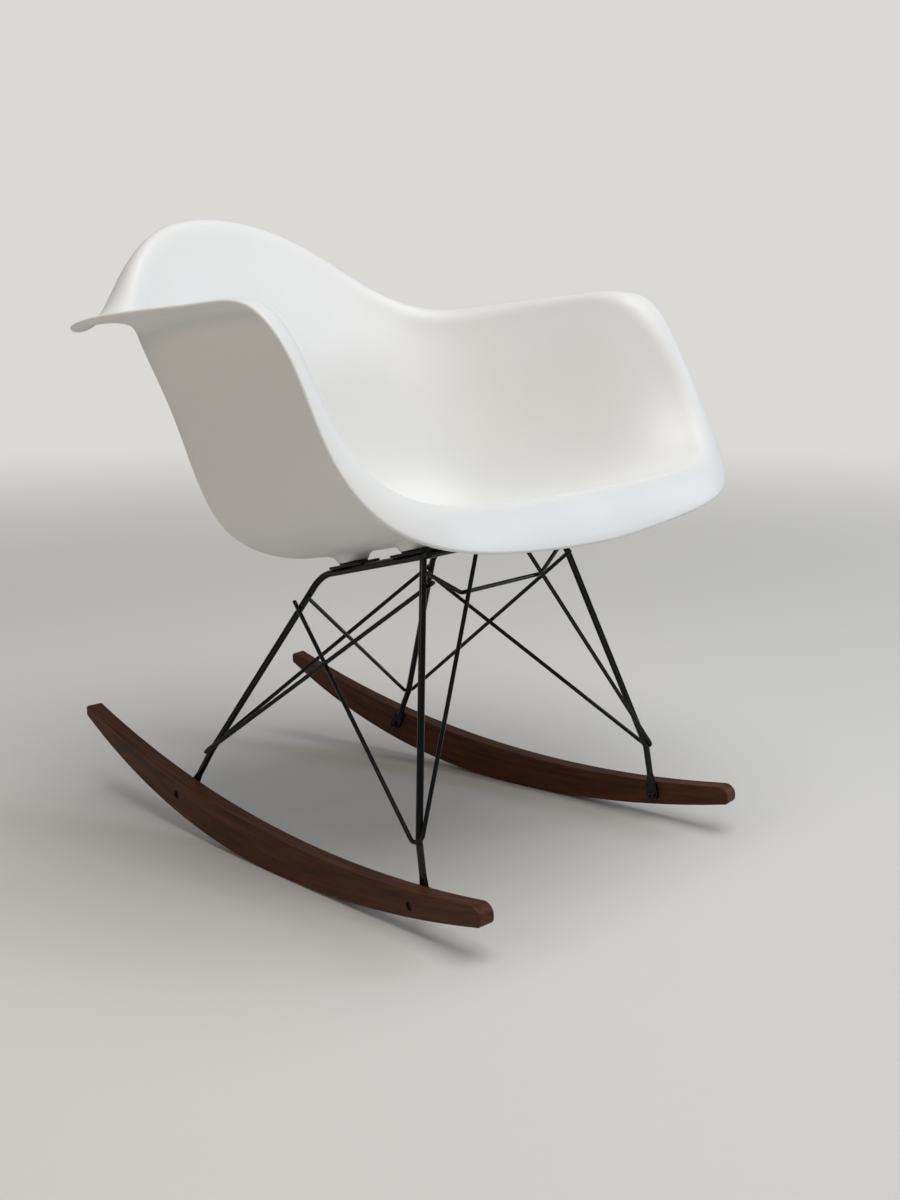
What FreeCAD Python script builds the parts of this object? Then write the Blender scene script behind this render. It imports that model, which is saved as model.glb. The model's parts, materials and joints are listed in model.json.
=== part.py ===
import FreeCAD, Part
import Sketcher
import math
import os

# Moulded armchair shell on a welded rod base with two wooden rockers.
# Axes: +X to the sitter's left, -Y to the front, +Z up, millimetres.
# The origin is on the floor, midway along and between the rockers.

Vector = FreeCAD.Vector
doc = FreeCAD.newDocument("rocking_chair")

# Driving dimensions

SIZES = [
    ("rocker_length", 690.0),
    ("rocker_thickness", 21.0),
    ("rocker_centre_spacing", 401.0),
    ("rocker_toe_angle", 4.1),
    ("rocker_front_radius", 1270.0),
    ("rocker_rear_radius", 755.0),
    ("rocker_contact_y", -35.0),
    ("rocker_crown_radius", 1410.0),
    ("rocker_crown_y", -113.0),
    ("rocker_crown_height", 40.5),
    ("rocker_front_top_round", 12.0),
    ("rocker_front_under_round", 5.0),
    ("rocker_rear_top_round", 4.0),
    ("rocker_rear_under_round", 4.0),
    ("rocker_edge_round", 2.0),
    ("front_bolt_y", -247.0),
    ("front_bolt_height", 30.5),
    ("rear_bolt_y", 153.0),
    ("rear_bolt_height", 46.0),
    ("bolt_diameter", 5.0),
    ("bolt_head_diameter", 9.0),
    ("bolt_head_height", 3.4),
    ("nut_width", 8.0),
    ("nut_height", 4.5),
    ("nut_recess_depth", 7.0),
    ("fit_clearance", 0.2),
    ("weld_gap", 0.1),
    ("edge_overlap", 0.1),
    ("rod_diameter", 7.6),
    ("wire_diameter", 4.8),
    ("tab_width", 14.0),
    ("tab_thickness", 5.0),
    ("tab_reach_above", 13.0),
    ("flatten_length", 14.0),
    ("front_kink_x", 203.5),
    ("front_kink_y", -237.0),
    ("front_kink_z", 90.0),
    ("rear_kink_x", 170.5),
    ("rear_kink_y", 121.5),
    ("rear_kink_z", 100.0),
    ("kink_radius", 22.0),
    ("rail_front_x", 116.0),
    ("rail_front_y", -165.0),
    ("rail_front_z", 360.0),
    ("rail_rear_x", 96.0),
    ("rail_rear_y", 8.5),
    ("rail_rear_z", 313.5),
    ("rail_overhang", 9.0),
    ("rail_bend_radius", 35.0),
    ("rear_bar_setback", 28.0),
    ("drop_bar_below_rail", 16.0),
    ("drop_bar_x", 69.0),
    ("drop_bar_y", -177.0),
    ("drop_bar_z", 315.0),
    ("drop_bar_bend", 14.0),
    ("strut_foot_height", 15.0),
    ("strut_bend_radius", 7.5),
    ("strut_stub", 10.0),
    ("front_strut_top_x", 36.0),
    ("front_strut_rail_drop", 46.0),
    ("rear_strut_leg_drop", 32.0),
    ("rear_strut_rail_drop", 31.0),
    ("mount_inset", 11.0),
    ("front_mount_setback", 21.0),
    ("rear_mount_setback", 130.0),
    ("plate_length", 55.0),
    ("plate_width", 33.0),
    ("plate_thickness", 3.0),
    ("plate_corner", 6.0),
    ("pad_diameter", 32.0),
    ("pad_thickness", 2.0),
    ("boss_base_diameter", 35.0),
    ("boss_draft_angle", 25.0),
    ("shell_wall", 5.0),
    ("insert_diameter", 9.0),
    ("insert_length", 9.0),
    ("screw_diameter", 6.0),
    ("screw_head_diameter", 11.0),
    ("screw_head_height", 3.3),
    ("screw_reach", 7.0),
    ("key_width", 4.0),
]

sheet = doc.addObject("Spreadsheet::Sheet", "Sizes")
for row, (alias, number) in enumerate(SIZES, start=1):
    sheet.set("A%d" % row, alias)
    sheet.set("B%d" % row, str(number))
    sheet.setAlias("B%d" % row, alias)
doc.recompute()


def size(alias):
    return float(sheet.get(alias))


def cell(alias):
    return "Sizes." + alias


# Small helpers

def unit(vector):
    return vector * (1.0 / vector.Length)


def across(axis, wish):
    """The part of a wished direction that is square to an axis, as a unit vector."""
    return unit(wish - axis * wish.dot(axis))


def along(start, end, distance):
    return start + unit(end - start) * distance


def facing(direction):
    """The rotation that turns +Z onto a direction."""
    return FreeCAD.Rotation(Vector(0, 0, 1), direction)


def mirrored(point, side):
    return Vector(point.x * side, point.y, point.z)


def rounded_path(points, radii):
    """Straight runs joined by tangent arcs, one radius for each inner point."""
    edges = []
    start = points[0]
    for index, radius in enumerate(radii, start=1):
        corner = points[index]
        back = unit(points[index - 1] - corner)
        ahead = unit(points[index + 1] - corner)
        half = back.getAngle(ahead) / 2
        reach = radius / math.tan(half)
        centre = corner + unit(back + ahead) * (radius / math.sin(half))
        first = corner + back * reach
        last = corner + ahead * reach
        middle = centre + unit(corner - centre) * radius
        edges.append(Part.LineSegment(start, first).toShape())
        edges.append(Part.Arc(first, middle, last).toShape())
        start = last
    edges.append(Part.LineSegment(start, points[-1]).toShape())
    return Part.Wire(edges)


finished = []


def finish(item, name):
    item.Label = name
    finished.append(item)
    return item


def bent_rod(name, points, radii, diameter):
    """A round bar of one diameter swept along a bent line."""
    spine = doc.addObject("Part::Feature", name + "_line")
    spine.Shape = rounded_path(points, radii)
    section = doc.addObject("Part::Circle", name + "_section")
    section.setExpression("Radius", cell(diameter) + " / 2")
    section.Placement = FreeCAD.Placement(points[0], facing(unit(points[1] - points[0])))
    sweep = doc.addObject("Part::Sweep", name + "_sweep")
    sweep.Sections = [section]
    sweep.Spine = (spine, ["Edge%d" % (i + 1) for i in range(len(spine.Shape.Edges))])
    sweep.Solid = True
    sweep.Frenet = False
    return sweep


def straight_rod(name, start, end, diameter):
    rod = doc.addObject("Part::Cylinder", name)
    rod.setExpression("Radius", cell(diameter) + " / 2")
    rod.Height = (end - start).Length
    rod.Placement = FreeCAD.Placement(start, facing(unit(end - start)))
    return rod


def cut(name, base, tool):
    result = doc.addObject("Part::Cut", name)
    result.Base = base
    result.Tool = tool
    return result


def fuse(name, shapes):
    result = doc.addObject("Part::MultiFuse", name)
    result.Shapes = shapes
    return result


def group(name, shapes):
    result = doc.addObject("Part::Compound", name)
    result.Links = shapes
    return result


# Rockers: a bent wooden runner each side. Its sole is a long arc in front of the floor contact
# and a tighter one behind it. An end face is rounded by no more than a share of its height.

LARGE_ROUND_SHARE = 0.6
SMALL_ROUND_SHARE = 0.35
EDGE_ROUND_SHARE = 0.25


def rocker_frame(side):
    turn = FreeCAD.Rotation(Vector(0, 0, 1), side * size("rocker_toe_angle"))
    return FreeCAD.Placement(Vector(side * size("rocker_centre_spacing") / 2, 0, 0), turn)


def sole_height(y):
    run = y - size("rocker_contact_y")
    radius = size("rocker_front_radius" if run < 0 else "rocker_rear_radius")
    return radius - math.sqrt(radius ** 2 - run ** 2)


def crown_height(y):
    radius = size("rocker_crown_radius")
    rise = radius - math.sqrt(radius ** 2 - (y - size("rocker_crown_y")) ** 2)
    return size("rocker_crown_height") + rise


def origin_plane(body, role):
    return [item for item in body.Origin.OriginFeatures if item.Role == role][0]


def rocker(name, side):
    body = doc.addObject("PartDesign::Body", name + "_body")
    half = size("rocker_length") / 2
    front_radius = size("rocker_front_radius")
    rear_radius = size("rocker_rear_radius")
    crown = size("rocker_crown_radius")
    contact = size("rocker_contact_y")
    peak = size("rocker_crown_y")
    outline = body.newObject("Sketcher::SketchObject", name + "_outline")
    outline.AttachmentSupport = [(origin_plane(body, "YZ_Plane"), "")]
    outline.MapMode = "FlatFace"

    def spot(y, height):
        return Vector(y, height(y), 0)

    def arc(start, end, height):
        middle = (start + end) / 2
        through = [spot(y, height) for y in (start, middle, end)]
        return outline.addGeometry(Part.Arc(*through), False)

    fore = arc(-half, contact, sole_height)
    aft = arc(contact, half, sole_height)
    rear = outline.addGeometry(Part.LineSegment(spot(half, sole_height), spot(half, crown_height)), False)
    over = arc(-half, half, crown_height)
    front = outline.addGeometry(Part.LineSegment(spot(-half, crown_height), spot(-half, sole_height)), False)
    for first, first_end, second, second_end in ((fore, 2, aft, 1), (aft, 2, rear, 1), (rear, 2, over, 2),
                                                 (over, 1, front, 1), (front, 2, fore, 1)):
        outline.addConstraint(Sketcher.Constraint("Coincident", first, first_end, second, second_end))
    outline.addConstraint(Sketcher.Constraint("Vertical", rear))
    outline.addConstraint(Sketcher.Constraint("Vertical", front))

    def bind(kind, arguments, expression):
        index = outline.addConstraint(Sketcher.Constraint(kind, *arguments))
        outline.setExpression("Constraints[%d]" % index, expression)

    bind("Radius", (fore, front_radius), cell("rocker_front_radius"))
    bind("Radius", (aft, rear_radius), cell("rocker_rear_radius"))
    bind("Radius", (over, crown), cell("rocker_crown_radius"))
    bind("DistanceX", (-1, 1, fore, 3, contact), cell("rocker_contact_y"))
    bind("DistanceX", (-1, 1, aft, 3, contact), cell("rocker_contact_y"))
    bind("DistanceY", (-1, 1, fore, 3, front_radius), cell("rocker_front_radius"))
    bind("DistanceX", (-1, 1, fore, 2, contact), cell("rocker_contact_y"))
    bind("DistanceX", (-1, 1, over, 3, peak), cell("rocker_crown_y"))
    bind("DistanceY", (-1, 1, over, 3, crown + size("rocker_crown_height")),
         cell("rocker_crown_radius") + " + " + cell("rocker_crown_height"))
    bind("DistanceX", (-1, 1, rear, 1, half), cell("rocker_length") + " / 2")
    bind("DistanceX", (front, 1, -1, 1, half), cell("rocker_length") + " / 2")

    board = body.newObject("PartDesign::Pad", name + "_board")
    board.Profile = outline
    board.Midplane = True
    board.setExpression("Length", cell("rocker_thickness"))
    doc.recompute()

    def end_rounded(base, end, y, corner):
        """One corner of an end face rounded, never by more than its share of that face."""
        z = crown_height(y) if corner == "top" else sole_height(y)
        names = []
        for index, edge in enumerate(base.Shape.Edges, start=1):
            box = edge.BoundBox
            if abs(box.Center.y - y) < 0.01 and abs(box.Center.z - z) < 0.01 and box.ZLength < 0.01:
                names.append("Edge%d" % index)
        share = LARGE_ROUND_SHARE if (end, corner) == ("front", "top") else SMALL_ROUND_SHARE
        limit = share * (crown_height(y) - sole_height(y))
        rounded = body.newObject("PartDesign::Fillet", name + "_" + end + "_" + corner)
        rounded.Base = (base, names)
        wanted = cell("rocker_" + end + "_" + corner + "_round")
        rounded.setExpression("Radius", "min(%s; %.4f)" % (wanted, limit))
        doc.recompute()
        return rounded

    nose = end_rounded(board, "front", -half, "top")
    nose = end_rounded(nose, "front", -half, "under")
    nose = end_rounded(nose, "rear", half, "top")
    nose = end_rounded(nose, "rear", half, "under")
    arrises = []
    for index, edge in enumerate(nose.Shape.Edges, start=1):
        if edge.BoundBox.XLength < 0.01:
            arrises.append("Edge%d" % index)
    eased = body.newObject("PartDesign::Fillet", name + "_eased")
    eased.Base = (nose, arrises)
    thinnest_end = min(crown_height(y) - sole_height(y) for y in (-half, half))
    edge_limit = EDGE_ROUND_SHARE * thinnest_end
    eased.setExpression("Radius", "min(%s; %.4f)" % (cell("rocker_edge_round"), edge_limit))
    doc.recompute()

    def holes(label, diameter, shift, depth):
        sketch = body.newObject("Sketcher::SketchObject", name + label)
        sketch.AttachmentSupport = [(origin_plane(body, "YZ_Plane"), "")]
        sketch.MapMode = "FlatFace"
        sketch.AttachmentOffset = FreeCAD.Placement(Vector(0, 0, shift), FreeCAD.Rotation())
        for end in ("front", "rear"):
            y = size(end + "_bolt_y")
            z = size(end + "_bolt_height")
            ring = sketch.addGeometry(Part.Circle(Vector(y, z, 0), Vector(0, 0, 1), diameter[0] / 2), False)
            links = (("Diameter", (ring, diameter[0]), diameter[1]),
                     ("DistanceX", (-1, 1, ring, 3, y), cell(end + "_bolt_y")),
                     ("DistanceY", (-1, 1, ring, 3, z), cell(end + "_bolt_height")))
            for kind, arguments, expression in links:
                index = sketch.addConstraint(Sketcher.Constraint(kind, *arguments))
                sketch.setExpression("Constraints[%d]" % index, expression)
        pocket = body.newObject("PartDesign::Pocket", name + label + "_pocket")
        pocket.Profile = sketch
        if depth is None:
            pocket.Type = "ThroughAll"
            pocket.Midplane = True
        else:
            pocket.Reversed = side < 0
            pocket.setExpression("Length", depth)
        doc.recompute()

    clear = size("fit_clearance")
    holes("_bores", (size("bolt_diameter") + 2 * clear,
                     cell("bolt_diameter") + " + 2 * " + cell("fit_clearance")), 0, None)
    recess = size("nut_width") / math.cos(math.radians(30)) + 2 * clear
    holes("_recesses", (recess, cell("nut_width") + " / cos(30deg) + 2 * " + cell("fit_clearance")),
          side * size("rocker_thickness") / 2, cell("nut_recess_depth"))
    body.Placement = rocker_frame(side)
    return finish(body, name)


SIDES = (("left", 1), ("right", -1))
rockers = {side: rocker("rocker_" + word, side) for word, side in SIDES}

# Where the base runs, worked out for the left side

rod = size("rod_diameter")
wire = size("wire_diameter")
beside_rod = (rod + wire) / 2 + size("weld_gap")


def bolt_point(end, side, depth):
    """A point on a rocker bolt's axis, so far inward from the rocker's inner face."""
    inward = -side * (size("rocker_thickness") / 2 + depth)
    return rocker_frame(side).multVec(Vector(inward, size(end + "_bolt_y"), size(end + "_bolt_height")))


def tab_point(end, side):
    return bolt_point(end, side, size("tab_thickness") / 2)


front_kink = Vector(size("front_kink_x"), size("front_kink_y"), size("front_kink_z"))
rear_kink = Vector(size("rear_kink_x"), size("rear_kink_y"), size("rear_kink_z"))
rail_front = Vector(size("rail_front_x"), size("rail_front_y"), size("rail_front_z"))
rail_rear = Vector(size("rail_rear_x"), size("rail_rear_y"), size("rail_rear_z"))
rail_end = along(rail_rear, rail_front, (rail_front - rail_rear).Length + size("rail_overhang"))
slope = Vector(0, rail_front.y - rail_rear.y, rail_front.z - rail_rear.z)
seat_axis = across(unit(slope), Vector(0, 0, 1))
seat_pitch = math.degrees(math.atan2(rail_front.z - rail_rear.z, rail_rear.y - rail_front.y))


# Feet: the rod's end is flattened into a tab that the rocker bolt holds

def foot(name, end, side):
    """A flat blade with a round end at the bolt, and a neck that turns into round rod."""
    centre = tab_point(end, side)
    kink = mirrored(front_kink if end == "front" else rear_kink, side)
    level = rocker_frame(side).Rotation
    climb = level.inverted().multVec(kink - centre)
    lean = FreeCAD.Rotation(Vector(1, 0, 0), -math.degrees(math.atan2(climb.y, climb.z)))
    turn = level.multiply(lean)
    across_blade = turn.multVec(Vector(1, 0, 0))
    up_blade = turn.multVec(Vector(0, 0, 1))
    width = size("tab_width")
    thick = size("tab_thickness")
    inner_face = centre - across_blade * (thick / 2)
    turn_across = turn.multiply(facing(Vector(1, 0, 0)))

    blade = doc.addObject("Part::Box", name + "_blade")
    blade.setExpression("Length", cell("tab_thickness"))
    blade.setExpression("Width", cell("tab_width"))
    blade.setExpression("Height", cell("tab_reach_above"))
    blade.Placement = FreeCAD.Placement(inner_face + turn.multVec(Vector(0, -width / 2, 0)), turn)
    toe = doc.addObject("Part::Cylinder", name + "_toe")
    toe.setExpression("Radius", cell("tab_width") + " / 2")
    toe.setExpression("Height", cell("tab_thickness"))
    toe.Placement = FreeCAD.Placement(inner_face, turn_across)

    low = centre + up_blade * (size("tab_reach_above") - size("edge_overlap"))
    high = along(low, kink, size("flatten_length"))
    flat = doc.addObject("Part::Ellipse", name + "_flat")
    flat.setExpression("MajorRadius", cell("tab_width") + " / 2 - " + cell("edge_overlap"))
    flat.setExpression("MinorRadius", cell("tab_thickness") + " / 2 - " + cell("edge_overlap"))
    flat.Placement = FreeCAD.Placement(low, turn.multiply(FreeCAD.Rotation(Vector(0, 0, 1), 90)))
    full = doc.addObject("Part::Circle", name + "_full")
    full.setExpression("Radius", cell("rod_diameter") + " / 2")
    full.Placement = FreeCAD.Placement(high, facing(unit(kink - low)))
    neck = doc.addObject("Part::Loft", name + "_neck")
    neck.Sections = [flat, full]
    neck.Solid = True
    bore = doc.addObject("Part::Cylinder", name + "_bore")
    bore.setExpression("Radius", cell("bolt_diameter") + " / 2 + " + cell("fit_clearance"))
    bore.setExpression("Height", "3 * " + cell("tab_thickness"))
    bore.Placement = FreeCAD.Placement(inner_face - across_blade * thick, turn_across)
    return [blade, toe, neck], bore, high


def leg_with_foot(name, end, side, points, radii):
    solids, bore, high = foot(name, end, side)
    shaft = bent_rod(name, [high] + points, radii, "rod_diameter")
    whole = fuse(name + "_whole", [shaft] + solids)
    return cut(name + "_bored", whole, bore)


# Side rails: rear leg and top rail bent from one rod

rails = {}
for word, side in SIDES:
    points = [mirrored(point, side) for point in (rear_kink, rail_rear, rail_end)]
    radii = [size("kink_radius"), size("rail_bend_radius")]
    rails[side] = finish(leg_with_foot("rear_leg_rail_" + word, "rear", side, points, radii),
                         "rear_leg_rail_" + word)

# Front legs: straight above the kink, notched round the rail they carry

legs = {}
for word, side in SIDES:
    name = "front_leg_" + word
    points = [mirrored(point, side) for point in (front_kink, rail_front)]
    blank = leg_with_foot(name, "front", side, points, [size("kink_radius")])
    saddle = straight_rod(name + "_saddle", mirrored(rail_rear, side), mirrored(rail_end, side),
                          "rod_diameter")
    saddle.setExpression("Radius", cell("rod_diameter") + " / 2 + " + cell("weld_gap"))
    legs[side] = finish(cut(name + "_notched", blank, saddle), name)

# Cross bars

inside_rail = rail_front.x - rod / 2 - size("weld_gap")
bar_left = Vector(inside_rail, rail_front.y, rail_front.z)
bar = straight_rod("front_bar", mirrored(bar_left, -1), bar_left, "rod_diameter")
finish(bar, "front_crossbar_upper")

rear_bar_at = along(rail_rear, rail_front, size("rear_bar_setback"))
rear_bar_left = rear_bar_at - Vector(rod / 2 + size("weld_gap"), 0, 0)
rear_bar = straight_rod("rear_bar", mirrored(rear_bar_left, -1), rear_bar_left, "rod_diameter")
finish(rear_bar, "rear_crossbar")

leg_axis = unit(rail_front - front_kink)
drop_from = rail_front - leg_axis * size("drop_bar_below_rail")
drop_bend = Vector(size("drop_bar_x"), size("drop_bar_y"), size("drop_bar_z"))
drop_start = along(drop_from, drop_bend, rod / 2)
drop_points = [mirrored(drop_start, 1), drop_bend, mirrored(drop_bend, -1), mirrored(drop_start, -1)]
drop = bent_rod("drop_bar", drop_points, [size("drop_bar_bend")] * 2, "wire_diameter")
for word, side in SIDES:
    post = straight_rod("drop_bar_post_" + word, mirrored(front_kink, side), mirrored(rail_front, side),
                        "rod_diameter")
    post.setExpression("Radius", cell("rod_diameter") + " / 2 + " + cell("weld_gap"))
    drop = cut("drop_bar_notched_" + word, drop, post)
finish(drop, "front_crossbar_lower")


# Struts: four thin wires, each bent to a V at one foot

def beside(base, top, distance, outward, forward):
    """A point beside a rod: so far up its axis, then so far outward and forward of it."""
    axis = unit(top - base)
    side = across(axis, Vector(1, 0, 0))
    front = across(axis, Vector(0, -1, 0))
    front = across(side, front)
    return base + axis * distance + side * outward + front * forward


leg_length = (rail_front - front_kink).Length
rear_length = (rail_rear - rear_kink).Length
foot_drop = -size("strut_foot_height")
front_corner = beside(front_kink, rail_front, foot_drop, beside_rod, beside_rod)
rear_corner = beside(rear_kink, rail_rear, foot_drop, beside_rod, -beside_rod)
front_strut_back = beside(rear_kink, rail_rear, rear_length - size("front_strut_rail_drop"), beside_rod, 0)
front_strut_top = Vector(size("front_strut_top_x"), rail_front.y - beside_rod, rail_front.z)
rear_strut_fore = beside(front_kink, rail_front, leg_length - size("rear_strut_leg_drop"), -beside_rod, 0)


def strut(name, side, back, corner, top):
    stub = size("strut_stub")
    ends = [along(corner, back, (back - corner).Length + stub), corner,
            along(corner, top, (top - corner).Length + stub)]
    points = [mirrored(point, side) for point in ends]
    return finish(bent_rod(name, points, [size("strut_bend_radius")], "wire_diameter"), name)


for word, side in SIDES:
    strut("front_strut_" + word, side, front_strut_back, front_corner, front_strut_top)
    # The two rear wires cross at the middle, so one ends behind the leg and one in front.
    rear_strut_height = rear_length - size("rear_strut_rail_drop")
    across_top = beside(rear_kink, rail_rear, rear_strut_height, 0, side * beside_rod)
    strut("rear_strut_" + word, side, rear_strut_fore, rear_corner, mirrored(across_top, -1))

# Seat shell: rings of points from the seat's low middle out to the lip.
# Each ring is given for one side, from the front centre round to the back centre.

RIM = [(0, -318, 381), (114, -309, 385), (223, -310, 400), (287, -276, 432), (312, -231, 493),
       (312, -189, 566), (320, -139, 621), (316, -66, 620), (313, 17, 614), (317, 103, 605),
       (293, 183, 592), (213, 236, 596), (126, 293, 668), (0, 319, 704)]
ROLL = [(0, -297, 428), (112, -288, 432), (213, -288, 445), (268, -262, 468), (290, -222, 515),
        (288, -178, 578), (290, -128, 622), (285, -60, 622), (280, 15, 614), (266, 88, 605),
        (240, 153, 604), (189, 213, 636), (113, 270, 695), (0, 293, 716)]
WALL = [(0, -230, 412), (105, -225, 414), (190, -225, 425), (225, -200, 445), (240, -170, 470),
        (248, -140, 500), (255, -100, 540), (256, -50, 540), (248, 5, 525), (236, 65, 503),
        (202, 118, 498), (154, 160, 511), (85, 197, 555), (0, 222, 580)]
HIP = [(0, -150, 380), (90, -145, 378), (150, -135, 380), (185, -115, 380), (200, -90, 380),
       (208, -65, 380), (212, -38, 380), (213, -6, 379), (210, 32, 378), (193, 68, 379),
       (161, 100, 382), (117, 127, 387), (64, 141, 392), (0, 149, 396)]
LOW_POINT = Vector(0, 10, 338)
FLOOR_RISE_FORWARD = 0.26
FLOOR_RISE_BACK = 0.05
FLOOR_TILT_AT_LOW = 0.10
FLOOR_DISH = 0.0004
BEND_START = 0.7
FLOOR_SHARES = (0.22, 0.6)


def ring_all_round(half):
    points = [Vector(*place) for place in half]
    return points + [Vector(-p.x, p.y, p.z) for p in reversed(points[1:-1])]


def floor_ring(hip, share):
    ring = []
    for point in hip:
        x = point.x * share
        y = LOW_POINT.y + (point.y - LOW_POINT.y) * share
        if share == FLOOR_SHARES[0]:
            z = LOW_POINT.z - FLOOR_TILT_AT_LOW * (y - LOW_POINT.y)
        else:
            rise = -FLOOR_RISE_FORWARD * y if y < 0 else FLOOR_RISE_BACK * y
            z = LOW_POINT.z + rise + FLOOR_DISH * x * x
        ring.append(Vector(x, y, z))
    return ring


def sharpened(rings):
    """Poles whose smooth surface passes near the given points, not inside them."""
    count = len(rings[0])
    eased = []
    for ring in rings:
        eased.append([ring[i] - (ring[i - 1] - ring[i] * 2 + ring[(i + 1) % count]) * (1 / 6)
                      for i in range(count)])
    poles = [[LOW_POINT] * count]
    for j in range(1, len(eased) - 1):
        poles.append([eased[j][i] - (eased[j - 1][i] - eased[j][i] * 2 + eased[j + 1][i]) * (1 / 6)
                      for i in range(count)])
    return poles + [eased[-1]]


def skin(rings):
    """A smooth surface, closed all round, through rings that run from the middle outward."""
    count = len(rings[0])
    steps = len(rings)
    surface = Part.BSplineSurface()
    poles = [[ring[i] for ring in rings] for i in range(count)]
    surface.buildFromPolesMultsKnots(poles, [1] * (count + 1), [4] + [1] * (steps - 4) + [4],
                                     list(range(count + 1)), list(range(steps - 2)), True, False, 3, 3)
    return surface


hip = ring_all_round(HIP)
rings = [[LOW_POINT] * len(hip)]
rings += [floor_ring(hip, share) for share in FLOOR_SHARES]
wall_ring = ring_all_round(WALL)
roll_ring = ring_all_round(ROLL)
bend_ring = [low + (high - low) * BEND_START for low, high in zip(wall_ring, roll_ring)]
rings += [hip, wall_ring, bend_ring, roll_ring, ring_all_round(RIM)]
inner_poles = sharpened(rings)
inner = skin(inner_poles)
wall = size("shell_wall")
count = len(hip)
steps = len(inner_poles)
last = steps - 3


def pole_place(j):
    """Where along the surface the pole of ring j has its greatest pull."""
    knots = [0] * 4 + list(range(1, last)) + [last] * 4
    return sum(knots[j + 1:j + 4]) / 3


NEAR_MIDDLE = 0.02
outer_poles = []
for j in range(steps):
    ring = []
    for i in range(count):
        v = max(pole_place(j), NEAR_MIDDLE)
        away = inner.normal((i - 1) % count, v)
        ring.append(inner_poles[j][i] + away * wall)
    outer_poles.append(ring)
outer_poles[0] = [LOW_POINT + inner.normal(0, NEAR_MIDDLE) * wall] * count
outer = skin(outer_poles)

# The lip's edge is a half round, drawn as narrow strips from the inner skin to the outer one.
EDGE_STRIPS = 6


def edge_ring(step):
    turn = math.pi * step / EDGE_STRIPS
    ring = []
    for i in range(count):
        middle = (inner_poles[-1][i] + outer_poles[-1][i]) / 2
        to_inner = inner_poles[-1][i] - middle
        outward = unit(inner_poles[-1][i] - inner_poles[-2][i]) * to_inner.Length
        ring.append(middle + to_inner * math.cos(turn) + outward * math.sin(turn))
    return ring


def strip(near, far):
    """A narrow surface ruled between two closed rings."""
    surface = Part.BSplineSurface()
    surface.buildFromPolesMultsKnots([[near[i], far[i]] for i in range(count)], [1] * (count + 1), [2, 2],
                                     list(range(count + 1)), [0, 1], True, False, 3, 1)
    return surface


edge_rings = [edge_ring(step) for step in range(EDGE_STRIPS + 1)]
edge_strips = [strip(near, far) for near, far in zip(edge_rings, edge_rings[1:])]
shell_faces = [surface.toShape() for surface in [inner, outer] + edge_strips]
shell_skin = Part.makeShell(shell_faces)
shell_skin.sewShape()
shell_solid = Part.Solid(Part.Shell(shell_skin.Faces))
if shell_solid.Volume < 0:
    shell_solid.reverse()
shell_blank = doc.addObject("Part::Feature", "shell_blank")
shell_blank.Shape = shell_solid

# Mounts: plate on the rail, pad, moulded boss, threaded insert and screw

plate = size("plate_thickness")
pad = size("pad_thickness")
boss_radius = size("boss_base_diameter") / 2
turn_seat = facing(seat_axis)


def mount_base(end, side):
    """The middle of a plate's lower face, where it lies on the rail."""
    on_rail = along(rail_front, rail_rear, size(end + "_mount_setback"))
    point = on_rail - Vector(size("mount_inset"), 0, 0) + seat_axis * (rod / 2)
    return mirrored(point, side)


MOUNTS = [(end, word, side) for end in ("front", "rear") for word, side in SIDES]
SEARCH_HEIGHT = 200.0
bosses = []
sockets = []
pads = []
inserts = []
screws = []


def post(name, radius, height, base, axis_turn):
    item = doc.addObject("Part::Cylinder", name)
    item.setExpression("Radius", radius)
    item.setExpression("Height", height)
    item.Placement = FreeCAD.Placement(base, axis_turn)
    return item


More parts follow.
